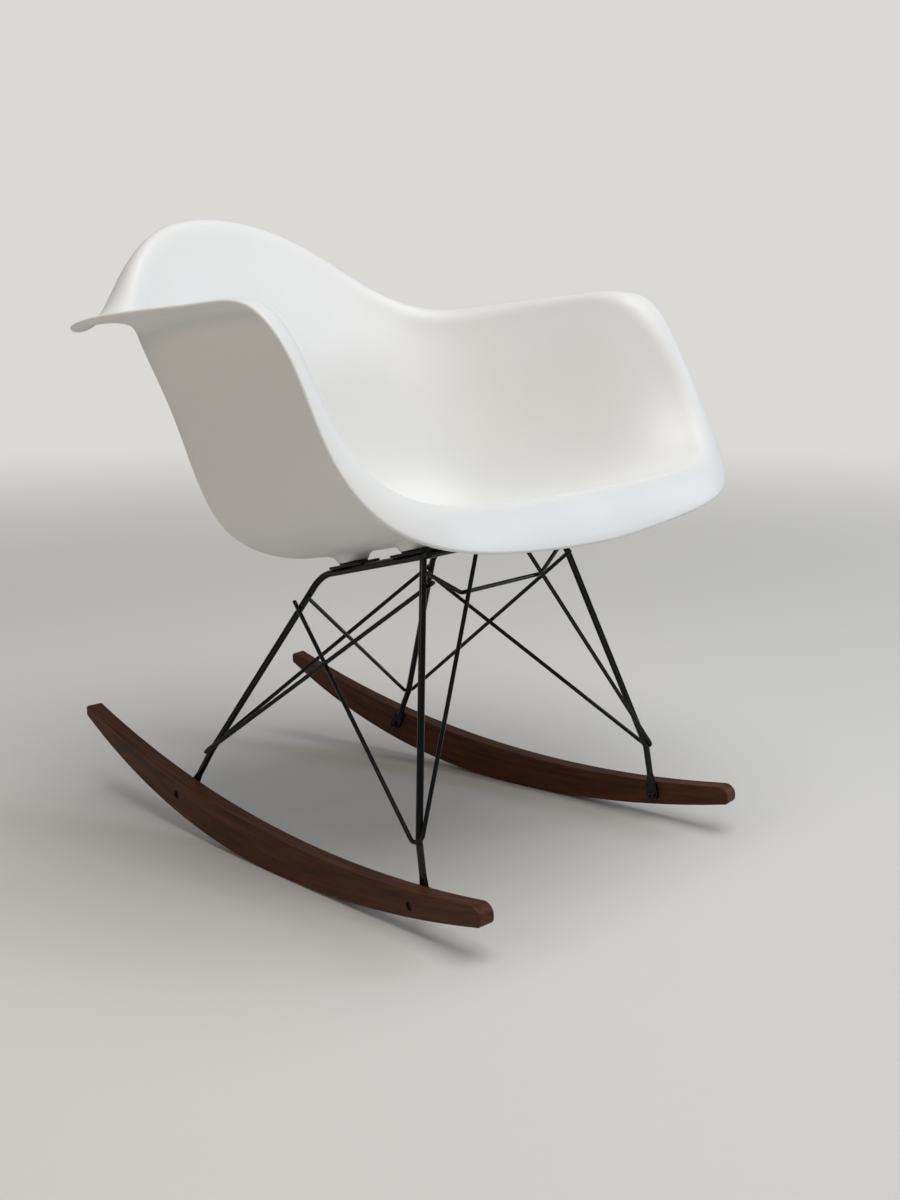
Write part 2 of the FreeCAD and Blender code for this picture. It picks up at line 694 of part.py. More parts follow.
half_screw = cell("screw_diameter") + " / 2"
half_insert = cell("insert_diameter") + " / 2"
clearance = cell("fit_clearance")
for end, word, side in MOUNTS:
    tag = end + "_" + word
    base = mount_base(end, side)
    on_plate = base + seat_axis * plate
    on_pad = on_plate + seat_axis * pad

    sheet_metal = doc.addObject("Part::Box", "plate_blank_" + tag)
    sheet_metal.setExpression("Length", cell("plate_width"))
    sheet_metal.setExpression("Width", cell("plate_length"))
    sheet_metal.setExpression("Height", cell("plate_thickness"))
    corner = Vector(-size("plate_width") / 2, -size("plate_length") / 2, size("weld_gap"))
    sheet_metal.Placement = FreeCAD.Placement(base + turn_seat.multVec(corner), turn_seat)
    doc.recompute()
    upright = [i for i, edge in enumerate(sheet_metal.Shape.Edges, start=1)
               if abs(edge.Length - plate) < 0.01]
    rounded = doc.addObject("Part::Fillet", "plate_round_" + tag)
    rounded.Base = sheet_metal
    rounded.Edges = [(i, size("plate_corner"), size("plate_corner")) for i in upright]
    hole = post("plate_hole_" + tag, half_screw + " + " + clearance, "3 * " + cell("plate_thickness"),
                base - seat_axis * plate, turn_seat)
    finish(cut("plate_" + tag, rounded, hole), "mount_plate_" + tag)

    disc = post("pad_disc_" + tag, cell("pad_diameter") + " / 2",
                cell("pad_thickness") + " - " + cell("weld_gap"),
                on_plate + seat_axis * size("weld_gap"), turn_seat)
    disc_hole = post("pad_hole_" + tag, half_screw + " + " + clearance, "3 * " + cell("pad_thickness"),
                     on_plate - seat_axis * pad, turn_seat)
    pads.append(cut("pad_" + tag, disc, disc_hole))

    reach = Part.makeLine(on_pad, on_pad + seat_axis * SEARCH_HEIGHT).common(shell_solid)
    to_wall = min((vertex.Point - on_pad).Length for vertex in reach.Vertexes)
    height = to_wall + 2 * wall
    cone = doc.addObject("Part::Cone", "boss_cone_" + tag)
    cone.setExpression("Radius1", cell("boss_base_diameter") + " / 2")
    cone.Height = height
    cone.Radius2 = boss_radius + height * math.tan(math.radians(size("boss_draft_angle")))
    cone.Placement = FreeCAD.Placement(on_pad + seat_axis * size("weld_gap"), turn_seat)
    doc.recompute()
    below = min(cone.Shape.cut(shell_solid).Solids, key=lambda piece: piece.CenterOfMass.z)
    boss = doc.addObject("Part::Feature", "boss_" + tag)
    boss.Shape = below
    bosses.append(boss)
    sockets.append(post("socket_" + tag, half_insert, cell("insert_length") + " + " + clearance,
                        on_pad, turn_seat))

    sleeve = post("sleeve_" + tag, half_insert, cell("insert_length") + " - " + cell("weld_gap"),
                  on_pad + seat_axis * size("weld_gap"), turn_seat)
    sleeve_bore = post("sleeve_bore_" + tag, half_screw, cell("insert_length"), on_pad, turn_seat)
    inserts.append(cut("insert_" + tag, sleeve, sleeve_bore))

    head = post("screw_head_" + tag, cell("screw_head_diameter") + " / 2", cell("screw_head_height"),
                base + seat_axis * (size("weld_gap") - size("screw_head_height")), turn_seat)
    shank = post("screw_shank_" + tag, half_screw, cell("plate_thickness") + " + " + cell("pad_thickness")
                 + " + " + cell("screw_reach"), base, turn_seat)
    key = doc.addObject("Part::Prism", "screw_key_" + tag)
    key.Polygon = 6
    key.setExpression("Circumradius", cell("key_width") + " / 2 / cos(30deg)")
    key.setExpression("Height", cell("screw_head_height"))
    key.Placement = FreeCAD.Placement(base - seat_axis * (size("screw_head_height") * 1.5), turn_seat)
    screws.append(cut("screw_" + tag, fuse("screw_whole_" + tag, [head, shank]), key))

seat = cut("seat_bored", fuse("seat_with_bosses", [shell_blank] + bosses), fuse("all_sockets", sockets))
finish(seat, "seat_shell")
finish(group("pads_all", pads), "mount_pads")
finish(group("inserts_all", inserts), "threaded_inserts")
finish(group("screws_all", screws), "shell_screws")

# Rocker fasteners: a bolt through tab and rocker, and a nut in the recess outside

bolts = []
nuts = []
for end in ("front", "rear"):
    for word, side in SIDES:
        tag = end + "_" + word
        frame_turn = rocker_frame(side).Rotation
        outward = frame_turn.multVec(Vector(side, 0, 0))
        turn_out = facing(outward)
        face = bolt_point(end, side, size("tab_thickness"))
        under_head = face - outward * size("weld_gap")
        recess_floor = size("rocker_thickness") - size("nut_recess_depth")
        inner_face = bolt_point(end, side, 0)
        nut_seat = inner_face + outward * (recess_floor + size("weld_gap"))
        shank_length = (nut_seat - under_head).Length + size("nut_height")
        shank = doc.addObject("Part::Cylinder", "bolt_shank_" + tag)
        shank.setExpression("Radius", cell("bolt_diameter") + " / 2")
        shank.Height = shank_length
        shank.Placement = FreeCAD.Placement(under_head, turn_out)
        head = doc.addObject("Part::Cone", "bolt_head_" + tag)
        head.setExpression("Radius1", cell("bolt_head_diameter") + " / 2 - 1")
        head.setExpression("Radius2", cell("bolt_head_diameter") + " / 2")
        head.setExpression("Height", cell("bolt_head_height"))
        head.Placement = FreeCAD.Placement(under_head - outward * size("bolt_head_height"), turn_out)
        key = doc.addObject("Part::Prism", "bolt_key_" + tag)
        key.Polygon = 6
        key.setExpression("Circumradius", cell("key_width") + " / 2 / cos(30deg)")
        key.setExpression("Height", cell("bolt_head_height"))
        key.Placement = FreeCAD.Placement(under_head - outward * (size("bolt_head_height") * 1.4), turn_out)
        bolts.append(cut("bolt_" + tag, fuse("bolt_whole_" + tag, [shank, head]), key))

        hexagon = doc.addObject("Part::Prism", "nut_body_" + tag)
        hexagon.Polygon = 6
        hexagon.setExpression("Circumradius", cell("nut_width") + " / 2 / cos(30deg)")
        hexagon.setExpression("Height", cell("nut_height"))
        hexagon.Placement = FreeCAD.Placement(nut_seat, turn_out)
        thread = post("nut_thread_" + tag, cell("bolt_diameter") + " / 2", "3 * " + cell("nut_height"),
                      nut_seat - outward * size("nut_height"), turn_out)
        nuts.append(cut("nut_" + tag, hexagon, thread))
finish(group("bolts_all", bolts), "rocker_bolts")
finish(group("nuts_all", nuts), "rocker_nuts")

# Check every object, then write one file for each piece

doc.recompute()
for item in doc.Objects:
    if "Invalid" in item.State or "Error" in item.State:
        raise RuntimeError("failed feature: " + item.Name)
os.makedirs("parts", exist_ok=True)
for item in finished:
    shape = item.Shape
    if shape.isNull() or not shape.isValid():
        raise RuntimeError("bad shape: " + item.Label)
    shape.exportStep("parts/" + item.Label + ".step")
    box = shape.BoundBox
    print("%-24s %2d solids %10.0f mm3  z %.1f to %.1f" % (
        item.Label, len(shape.Solids), shape.Volume, box.ZMin, box.ZMax))
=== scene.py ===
# %% [markdown]
# # A moulded plastic rocking chair
# This lesson dresses an exact engineering model of a rocking chair: one armchair shell of moulded
# plastic, a welded base of black rod and wire, and two bent wooden rockers. The engineering model
# gives every rod, plate, screw and rocker its true place. Here the big soft shape, the seat shell,
# is drawn again as a finer surface, and every piece gets a material that is named for what it is
# made of. The model is loaded first.

# %% Load the engineering model
import json
import math

import bpy
import numpy as np
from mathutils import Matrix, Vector


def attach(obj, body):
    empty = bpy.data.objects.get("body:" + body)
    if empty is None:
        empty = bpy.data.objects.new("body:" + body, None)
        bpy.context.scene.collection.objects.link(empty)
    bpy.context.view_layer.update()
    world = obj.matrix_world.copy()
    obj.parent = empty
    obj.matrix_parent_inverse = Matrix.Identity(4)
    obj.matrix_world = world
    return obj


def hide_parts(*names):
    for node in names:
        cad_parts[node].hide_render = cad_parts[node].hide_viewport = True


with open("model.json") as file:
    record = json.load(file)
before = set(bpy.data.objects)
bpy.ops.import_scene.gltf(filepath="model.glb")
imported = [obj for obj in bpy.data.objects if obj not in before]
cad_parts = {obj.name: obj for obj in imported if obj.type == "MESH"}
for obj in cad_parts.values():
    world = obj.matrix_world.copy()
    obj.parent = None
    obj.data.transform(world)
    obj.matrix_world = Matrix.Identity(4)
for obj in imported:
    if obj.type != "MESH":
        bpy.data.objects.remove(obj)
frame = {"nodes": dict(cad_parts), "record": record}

scene = bpy.context.scene
nodes = frame["nodes"]
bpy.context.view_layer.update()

# %% [markdown]
# ## The seat shell: a few outlines
# On the real chair the seat, the back and the arms are one injection moulding about five
# millimetres thick. It has no flat place and no crease, so modelling it from a box would mean
# fighting every vertex. A better way is to treat it like a fabric stretched over a few closed
# wires. Four outlines say most of it: where the seat pan turns up (hip), half way up the inside
# (wall), where the lip starts to roll outward (roll) and the edge itself (rim). Only one half is
# written, from the front middle to the back middle, in millimetres. The other half is its mirror
# image, so the chair stays symmetric. At the two front corners these outlines lie up to twelve
# millimetres lower than the engineering model's, because the photo shows the lip flatter there.

# %% Outlines of one half of the shell
RIM = [(0, -318, 381), (114, -309, 385), (224, -310, 400), (289, -277, 428), (314, -232, 489),
       (312, -189, 566), (320, -139, 621), (316, -66, 620), (313, 17, 614), (317, 103, 605),
       (293, 183, 592), (213, 236, 596), (126, 293, 668), (0, 319, 704)]
ROLL = [(0, -297, 428), (112, -290, 427), (214, -290, 435), (272, -264, 456), (296, -224, 506),
        (293, -179, 575), (290, -128, 622), (285, -60, 622), (280, 15, 614), (266, 88, 605),
        (240, 153, 604), (189, 213, 636), (113, 270, 695), (0, 293, 716)]
WALL = [(0, -230, 412), (105, -225, 412), (190, -225, 420), (226, -200, 440), (240, -170, 470),
        (248, -140, 500), (255, -100, 540), (256, -50, 540), (248, 5, 525), (236, 65, 503),
        (202, 118, 498), (154, 160, 511), (85, 197, 555), (0, 222, 580)]
HIP = [(0, -150, 380), (90, -145, 378), (150, -135, 380), (185, -115, 380), (200, -90, 380),
       (208, -65, 380), (212, -38, 380), (213, -6, 379), (210, 32, 378), (193, 68, 379),
       (161, 100, 382), (117, 127, 387), (64, 141, 392), (0, 149, 396)]


def all_round(half):
    """The half outline followed by its mirror image, so that the ring closes on itself."""
    half = np.array(half, float)
    return np.vstack([half, half[-2:0:-1] * [-1, 1, 1]])


hip, wall, roll, rim = (all_round(half) for half in (HIP, WALL, ROLL, RIM))
print("outlines: 4 with", len(hip), "points each")

# %% [markdown]
# ## The seat pan between the outlines
# Inside the hip outline the real seat is a shallow dish. Its lowest point lies a little behind the
# middle, and it rises gently to the front, to the back and to both sides. That is easier to say as
# a formula than to draw. Two smaller copies of the hip outline are laid on the dish, the inner one
# only tilted and the outer one with the full rise, and the lowest point closes it. One more ring is
# put between wall and roll, so that the wall stays fairly straight and the bend into the lip is
# short.

# %% Rings from the low point to the rim
LOW_POINT = np.array([0.0, 10.0, 338.0])
PAN_SHARES = (0.0, 0.22, 0.6)
TILTED_SHARE = 0.5
TILT_AT_LOW_POINT = 0.10
RISE_FORWARD = 0.26
RISE_BACK = 0.05
RISE_TO_SIDES = 0.0004
BEND_START = 0.7


def pan_ring(share):
    """The hip outline shrunk towards the low point and laid on the dish."""
    ring = LOW_POINT + (all_round(HIP) - LOW_POINT) * share
    x, y = ring[:, 0], ring[:, 1]
    if share < TILTED_SHARE:
        rise = -TILT_AT_LOW_POINT * (y - LOW_POINT[1])
    else:
        rise = np.where(y < 0, -RISE_FORWARD * y, RISE_BACK * y) + RISE_TO_SIDES * x * x
    ring[:, 2] = LOW_POINT[2] + rise
    return ring


bend = wall + (roll - wall) * BEND_START
rings = np.array([pan_ring(share) for share in PAN_SHARES] + [hip, wall, bend, roll, rim])
print("rings:", rings.shape[0], "with", rings.shape[1], "points each")

# %% [markdown]
# ## Control points that make up for the smoothing
# A cubic spline surface is a weighted mean of its control points, so it would pass inside the
# outlines and come out too small. Each control point is therefore first pushed away from the mean
# of its neighbours by a sixth of the bend, which cancels most of that. Solving for the exact points
# would work too, but it lets the surface swing more between the rings.

# %% Control points


def pushed_out(grid):
    """Each point minus a sixth of the second difference, first round the ring, then outward."""
    eased = grid - (np.roll(grid, 1, 1) - 2 * grid + np.roll(grid, -1, 1)) / 6
    control = eased.copy()
    control[1:-1] = eased[1:-1] - (eased[:-2] - 2 * eased[1:-1] + eased[2:]) / 6
    return control


poles = pushed_out(rings)
RING_COUNT, POINT_COUNT = poles.shape[:2]
print("largest push:", np.linalg.norm(poles - rings, axis=2).max().round(1), "mm")

# %% [markdown]
# ## Spline weights
# Every point of the surface is the sum of control points times weights, so the weights are all the
# mathematics that a spline needs. Round the shell the spline is periodic and has no seam. From the
# middle outward it is clamped, so that it starts exactly at the low point and ends on the rim.
# Blender's own NURBS surfaces can do this too, but with plain weights the same surface can be
# asked for a point, a slope or a thickness anywhere.

# %% Spline weights
TINY = 1e-9


def weights_round(u, count):
    """Weights of a periodic cubic spline, from what is left of u after the whole number."""
    start = np.floor(u).astype(int)
    f = (u - start)[:, None]
    four = np.hstack([(1 - f) ** 3, 3 * f ** 3 - 6 * f ** 2 + 4,
                      -3 * f ** 3 + 3 * f ** 2 + 3 * f + 1, f ** 3]) / 6
    table = np.zeros((len(u), count))
    for k in range(4):
        table[np.arange(len(u)), (start + k) % count] += four[:, k]
    return table


def weights_outward(v, count):
    """Weights of a clamped cubic spline: each degree blends two curves of the degree below."""
    knots = np.array([0.0] * 3 + list(range(count - 2)) + [count - 3.0] * 3)
    v = np.clip(v, 0, count - 3 - TINY)[:, None]
    table = ((v >= knots[:-1]) & (v < knots[1:])).astype(float)
    for degree in (1, 2, 3):
        left, right = knots[:-degree - 1], knots[degree + 1:]
        before, after = knots[degree:-1], knots[1:-degree]
        up = (v - left) / np.maximum(before - left, TINY) * (before > left)
        down = (right - v) / np.maximum(right - after, TINY) * (right > after)
        table = up * table[:, :-1] + down * table[:, 1:]
    return table


print("weights add up to", weights_outward(np.array([0.5]), RING_COUNT).sum().round(6))

# %% [markdown]
# ## The inner skin
# The inner skin is the one that the sitter touches, and the outlines describe it. It is sampled
# every few millimetres, so that no facet shows on the lip even close up. The sum over all control
# points is written as one array product, which takes a fraction of a second where a loop over
# points would take minutes.

# %% Inner skin
AROUND = 312
OUTWARD = 104
V_AT_RIM = RING_COUNT - 3


def skin(u, v):
    """Points of the inner skin at each u round the shell and each v outward."""
    return np.einsum("ai,bj,jic->bac", weights_round(u, POINT_COUNT),
                     weights_outward(v, RING_COUNT), poles)


u = np.linspace(0, POINT_COUNT, AROUND, endpoint=False)
v = np.linspace(0, V_AT_RIM, OUTWARD + 1)[1:]
inner = skin(u, v)
corners = inner.min((0, 1)), inner.max((0, 1))
print("inner skin spans", np.round(corners[0]), "to", np.round(corners[1]), "mm")

# %% [markdown]
# ## An even wall
# A moulding has nearly the same wall everywhere, because thick places cool late and sink. So the
# outer skin is the inner one moved outward by the wall along the surface's own direction, which is
# the cross product of the way round and the way outward. Blender's Solidify modifier does the same
# from the faces' normals. Taken from the spline, the direction doesn't depend on the size of the
# faces, and the outer skin stays known as a formula, which the mounting bosses need later.

# %% Outer skin
WALL_THICKNESS = 4.9
STEP = 1e-3


def outward_direction(u, v):
    """Unit direction out of the shell, from small steps round and outward."""
    ahead = skin(u + STEP, v) - skin(u - STEP, v)
    out = skin(u, np.minimum(v + STEP, V_AT_RIM)) - skin(u, v - STEP)
    cross = np.cross(ahead, out)
    return cross / np.linalg.norm(cross, axis=2, keepdims=True)


outer = inner + outward_direction(u, v) * WALL_THICKNESS
print("outer skin:", WALL_THICKNESS, "mm off the inner one")

# %% [markdown]
# ## A rounded edge
# The real edge is rounded, because it is where the two halves of the mould part and where hands
# hold the chair. Here it is a half circle swept round the rim, from the inner skin's last row to
# the outer skin's. Inner skin, edge and outer skin are rows of one closed grid, so no seam is left
# between them. A bevel on a finished mesh would need the edge to be found first.

# %% Edge and closed grid
EDGE_STEPS = 9
middle = (inner[-1] + outer[-1]) / 2
to_inner = inner[-1] - middle
run_out = inner[-1] - inner[-2]
run_out /= np.linalg.norm(run_out, axis=1, keepdims=True)
turn = (np.pi * np.arange(1, EDGE_STEPS) / EDGE_STEPS)[:, None, None]
half_wall = np.linalg.norm(to_inner, axis=1)[None, :, None]
edge = middle + to_inner * np.cos(turn) + run_out * half_wall * np.sin(turn)
shell_rows = np.concatenate([inner, edge, outer[::-1]])
print("shell grid:", shell_rows.shape[:2])

# %% [markdown]
# ## Turning a grid of points into a mesh
# The shell and its bosses are grids of points, closed round one way. One helper turns such a grid
# into faces with whole-array arithmetic: each quad takes a point, its neighbour round the ring and
# the same two in the next row. Where an end of the grid closes on a single point, a fan of
# triangles does it. The order of the corners decides which side is out, so a fan can be flipped.
# Blender works in metres, so the points are divided by a thousand when the mesh is made.

# %% Grid to mesh
MM_PER_M = 1000


def grid_faces(rows, columns, first=0):
    """Quads of a grid closed round: (row, column), (row, next), and the same in the next row."""
    r, c = np.meshgrid(np.arange(rows - 1), np.arange(columns), indexing="ij")
    n = (c + 1) % columns
    low, high = r * columns + first, (r + 1) * columns + first
    return np.stack([low + c, low + n, high + n, high + c], -1).reshape(-1, 4)


def fan_faces(tip, ring_start, columns, flipped):
    """Triangles from one point to each step of a ring, turned the other way where flipped."""
    c = np.arange(columns)
    n = (c + 1) % columns
    one, two = (n, c) if flipped else (c, n)
    return np.stack([np.full(columns, tip), ring_start + one, ring_start + two], -1)


def new_piece(name, points_mm, faces):
    """A smooth-shaded mesh object at the origin, from points in millimetres and face arrays."""
    mesh = bpy.data.meshes.new(name)
    all_faces = [face for block in faces for face in block.tolist()]
    mesh.from_pydata((points_mm / MM_PER_M).tolist(), [], all_faces)
    mesh.polygons.foreach_set("use_smooth", np.ones(len(mesh.polygons), bool))
    mesh.update()
    piece = bpy.data.objects.new(name, mesh)
    scene.collection.objects.link(piece)
    print(name, "has", len(mesh.vertices), "points and", len(mesh.polygons), "faces")
    return piece


inner_tip = shell_rows.shape[0] * AROUND
outer_tip = inner_tip + 1
last_ring = inner_tip - AROUND
tips = np.array([LOW_POINT, LOW_POINT - [0, 0, WALL_THICKNESS]])
shell_points = [shell_rows.reshape(-1, 3), tips]
shell_faces = [grid_faces(len(shell_rows), AROUND)[:, ::-1],
               fan_faces(inner_tip, 0, AROUND, False),
               fan_faces(outer_tip, last_ring, AROUND, True)]
print("shell points:", inner_tip + len(tips))

# %% [markdown]
# ## Where the mounting bosses stand
# Under the seat four hollow cones carry threaded inserts, and screws come up through the base's
# plates into them. They stand on the plates of the two side rails, so they are square to the rails
# and not to the floor. Their places are worked out from the rail's two ends and the same few sizes
# as in the engineering model, because the screws and inserts that show there are the engineering
# model's own.

# %% Boss places
RAIL_FRONT = np.array([116.0, -165.0, 360.0])
RAIL_REAR = np.array([96.0, 8.5, 313.5])
ROD = 7.6
MOUNT_INSET = 11.0
PLATE_AND_PAD = 5.0
BOSS_SETBACKS = (21, 130)
slope = np.array([0, *(RAIL_FRONT - RAIL_REAR)[1:]])
SEAT_AXIS = np.array([0, slope[2], -slope[1]]) / np.linalg.norm(slope)


def boss_foot(setback, side):
    """A boss's foot: along the rail, inward, then up by half a rod, the plate and the pad."""
    rail = RAIL_REAR - RAIL_FRONT
    point = RAIL_FRONT + rail / np.linalg.norm(rail) * setback
    point = point - [MOUNT_INSET, 0, 0] + SEAT_AXIS * (ROD / 2 + PLATE_AND_PAD)
    return point * [side, 1, 1]


boss_feet = [boss_foot(setback, side) for setback in BOSS_SETBACKS for side in (1, -1)]
for foot in boss_feet:
    print("boss at", np.round(foot, 1))

# %% [markdown]
# ## Finding the skin above a boss
# A boss grows until it meets the shell, so its builder has to know where the outer skin is above
# any spot. A ray could be cast at the mesh, but it would hit flat facets. The spline itself is
# solved instead: starting at the nearest point of the grid, six Newton steps on u and v bring the
# surface point right over the spot.

# %% The skin straight above a spot
PAN_ROWS = 70
NEWTON_STEPS = 6


def outer_at(a, b):
    """Outer skin at pairs of u and v: the inner skin plus one wall along its direction."""
    def inner_at(p, q):
        return np.einsum("ai,aj,jic->ac", weights_round(p, POINT_COUNT),
                         weights_outward(q, RING_COUNT), poles)
    ahead = inner_at(a + STEP, b) - inner_at(a - STEP, b)
    out = inner_at(a, b + STEP) - inner_at(a, b - STEP)
    cross = np.cross(ahead, out)
    return inner_at(a, b) + cross / np.linalg.norm(cross, axis=1, keepdims=True) * WALL_THICKNESS


def skin_above(xy):
    """Points of the outer skin over the given x and y."""
    pan = outer[:PAN_ROWS].reshape(-1, 3)
    nearest = np.argmin(np.linalg.norm(pan[None, :, :2] - xy[:, None], axis=2), axis=1)
    a, b = u[nearest % AROUND], v[nearest // AROUND]
    for _ in range(NEWTON_STEPS):
        here = outer_at(a, b)
        along_u = (outer_at(a + STEP, b) - here)[:, :2] / STEP
        along_v = (outer_at(a, b + STEP) - here)[:, :2] / STEP
        area = along_u[:, 0] * along_v[:, 1] - along_u[:, 1] * along_v[:, 0]
        gap = xy - here[:, :2]
        a = a + (gap[:, 0] * along_v[:, 1] - gap[:, 1] * along_v[:, 0]) / area
        b = b + (along_u[:, 0] * gap[:, 1] - along_u[:, 1] * gap[:, 0]) / area
    return outer_at(a, b)


def height_of_skin(foot):
    """How far above a boss's foot the outer skin lies."""
    return skin_above(foot[None, :2])[0, 2] - foot[2]


for foot in boss_feet:
    print("skin over boss at height", height_of_skin(foot).round(1), "mm")

# %% [markdown]
# ## Bosses that melt into the shell
# On the real shell the bosses grow out of the skin with a generous fillet, so that the hot plastic
# fills them and the wall doesn't tear. Each one is a stack of rings round its own axis: the socket
# for the insert, a small face on the rubber pad, a rounded corner, and then a curve per angle. The
# curve leaves along the drafted side and arrives along the skin's own slope, which is what makes
# it look moulded and not stuck on. Its last ring is sunk a little into the wall. Boolean and bevel
# modifiers could do it too, but they often fail where a fillet runs out this flat.

# %% Rings of one boss
BOSS_STEPS = 64
BOSS_RADIUS = 17.5
BOSS_DRAFT = math.radians(25)
CORNER_ROUND = 1.2
CORNER_MIDDLE = 0.35
INSERT_RADIUS = 4.55
INSERT_DEPTH = 9.1
FOOT_GAP = 0.1
FLARE_STEPS = 16
FLARE_REACH = 13.0
FLARE_PULL = 0.42
SLOPE_STEP = 2
SUNK = 0.4
theta = 2 * np.pi * np.arange(BOSS_STEPS) / BOSS_STEPS
ACROSS = np.array([1.0, 0, 0])
FORWARD = np.cross(SEAT_AXIS, ACROSS)
around = np.cos(theta)[:, None] * ACROSS + np.sin(theta)[:, None] * FORWARD


def boss_grid(foot):
    """Rings of one boss from the socket's roof down, round the foot and up to the skin."""
    def ring(radius, height):
        return foot + around * radius + SEAT_AXIS * height
    plain = [ring(INSERT_RADIUS, INSERT_DEPTH), ring(INSERT_RADIUS, FOOT_GAP),
             ring(BOSS_RADIUS - CORNER_ROUND, FOOT_GAP),
             ring(BOSS_RADIUS - CORNER_MIDDLE, FOOT_GAP + CORNER_MIDDLE)]
    start = ring(BOSS_RADIUS, FOOT_GAP + CORNER_ROUND)
    reach = BOSS_RADIUS + height_of_skin(foot) * math.tan(BOSS_DRAFT) + FLARE_REACH
    end = skin_above((foot + around * reach)[:, :2])
    beyond = skin_above((foot + around * (reach + SLOPE_STEP))[:, :2])
    skin_way = (beyond - end) / np.linalg.norm(beyond - end, axis=1, keepdims=True)
    side_way = around * math.sin(BOSS_DRAFT) + SEAT_AXIS * math.cos(BOSS_DRAFT)
    pull = np.linalg.norm(end - start, axis=1, keepdims=True) * FLARE_PULL
    first, second = start + side_way * pull, end - skin_way * pull
    t = np.linspace(0, 1, FLARE_STEPS)[:, None, None]
    flare = (1 - t) ** 3 * start + 3 * (1 - t) ** 2 * t * first \
        + 3 * (1 - t) * t ** 2 * second + t ** 3 * end
    flare[-1] += [0, 0, SUNK]
    return np.concatenate([np.array(plain), flare])


print("rings per boss:", len(boss_grid(boss_feet[0])))

# %% [markdown]
# ## One mesh for the whole moulding
# Shell and bosses are one piece of plastic, so they go into one mesh. Each boss is closed on its
# own: a fan makes the roof of its socket, and another, inside the wall where nobody sees it,
# closes the top. The mesh then takes the place of the engineering model's shell and moves with the
# chair's one body.

# %% The shell with its bosses
for foot in boss_feet:
    grid = boss_grid(foot)
    roof = foot + SEAT_AXIS * INSERT_DEPTH
    top = skin_above(foot[None, :2])[0] + [0, 0, WALL_THICKNESS / 2]
    first = sum(len(block) for block in shell_points)
    end = first + grid.shape[0] * BOSS_STEPS
    shell_points += [grid.reshape(-1, 3), np.array([roof, top])]
    shell_faces += [grid_faces(len(grid), BOSS_STEPS, first),
                    fan_faces(end, first, BOSS_STEPS, True),
                    fan_faces(end + 1, end - BOSS_STEPS, BOSS_STEPS, False)]
shell = new_piece("seat_shell_skin", np.vstack(shell_points), shell_faces)
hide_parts("seat_shell")
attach(shell, "root")

# %% [markdown]
# ## Colours and nodes
# Colours are picked on a screen as sRGB codes, but a renderer adds light in linear values, so each
# code is converted once. Materials are built from nodes, and one helper adds any kind of node: its
# settings are the node's own properties, and each input takes either a fixed value or another
# node's output. This is shorter and easier to check than a picture of the node editor.

# %% Colour and node helpers


def linear(code):
    """Linear red, green, blue, alpha of an sRGB code, by the sRGB standard's curve."""
    parts = [int(code[i:i + 2], 16) / 255 for i in (1, 3, 5)]
    return [c / 12.92 if c <= 0.04045 else ((c + 0.055) / 1.055) ** 2.4 for c in parts] + [1.0]


def add(tree, kind, inputs=None, **settings):
    """Adds a node; inputs maps a socket's name or number to a value or another's output."""
    made = tree.nodes.new(kind)
    for key, value in settings.items():
        setattr(made, key, value)
    for key, value in (inputs or {}).items():
        if isinstance(value, bpy.types.NodeSocket):
            tree.links.new(value, made.inputs[key])
        else:
            made.inputs[key].default_value = value
    return made


def new_material(name, inputs):
    """A material with one principled surface, its node tree and that surface."""
    made = bpy.data.materials.new(name)
    made.use_nodes = True
    tree = made.node_tree
    tree.nodes.clear()
    surface = add(tree, "ShaderNodeBsdfPrincipled", inputs)
    add(tree, "ShaderNodeOutputMaterial", {"Surface": surface.outputs[0]})
    return made, tree, surface


def calculate(tree, operation, first, second):
    """The result of one operation, such as MULTIPLY, on two values or outputs."""
    return add(tree, "ShaderNodeMath", {0: first, 1: second}, operation=operation).outputs[0]


def mix_colours(tree, share, first, second):
    """The first colour where share is 0 and the second where it is 1."""
    return add(tree, "ShaderNodeMix", {"Factor": share, "A": first, "B": second},
               data_type="RGBA").outputs["Result"]


print("middle grey in linear values:", np.round(linear("#808080"), 3))

# %% [markdown]
# ## Patterns with real sizes
# A real surface is never quite even: its colour drifts, its shine changes where hands have been,
# and its skin has a fine relief. All three come from noise. The noise is fixed to the object's own
# coordinates in metres, so a grain of half a millimetre stays half a millimetre from any camera,
# and no picture has to be wrapped round the chair.

# %% Pattern helpers


def object_point(tree):
    """The shaded point in the object's own coordinates, in metres."""
    return add(tree, "ShaderNodeTexCoord").outputs["Object"]


def noise(tree, size_m, detail=2.0, point=None):
    """Noise with features of size_m, which is one size or three, round the object's point."""
    scale = np.broadcast_to(1 / np.array(size_m), 3).tolist()
    where = object_point(tree) if point is None else point
    scaled = add(tree, "ShaderNodeVectorMath", {0: where, 1: scale}, operation="MULTIPLY")
    return add(tree, "ShaderNodeTexNoise", {"Vector": scaled.outputs[0], "Scale": 1.0,
                                            "Detail": detail}).outputs["Fac"]


def spread(tree, value, low, high):
    """Maps a 0 to 1 value to low to high."""
    return add(tree, "ShaderNodeMapRange", {"Value": value, "To Min": low,
                                            "To Max": high}).outputs[0]


def vary_roughness(tree, surface, value, low, high):
    """Makes the surface's roughness follow a 0 to 1 value between low and high."""
    tree.links.new(spread(tree, value, low, high), surface.inputs["Roughness"])


def raise_surface(tree, surface, height, depth_m):
    """Tilts the surface's normal as if height, 0 to 1, stood depth_m high."""
    bump = add(tree, "ShaderNodeBump", {"Height": height, "Distance": depth_m, "Strength": 1.0})
    tree.links.new(bump.outputs[0], surface.inputs["Normal"])


print("a half-millimetre grain is noise at scale", round(1 / 0.0005))

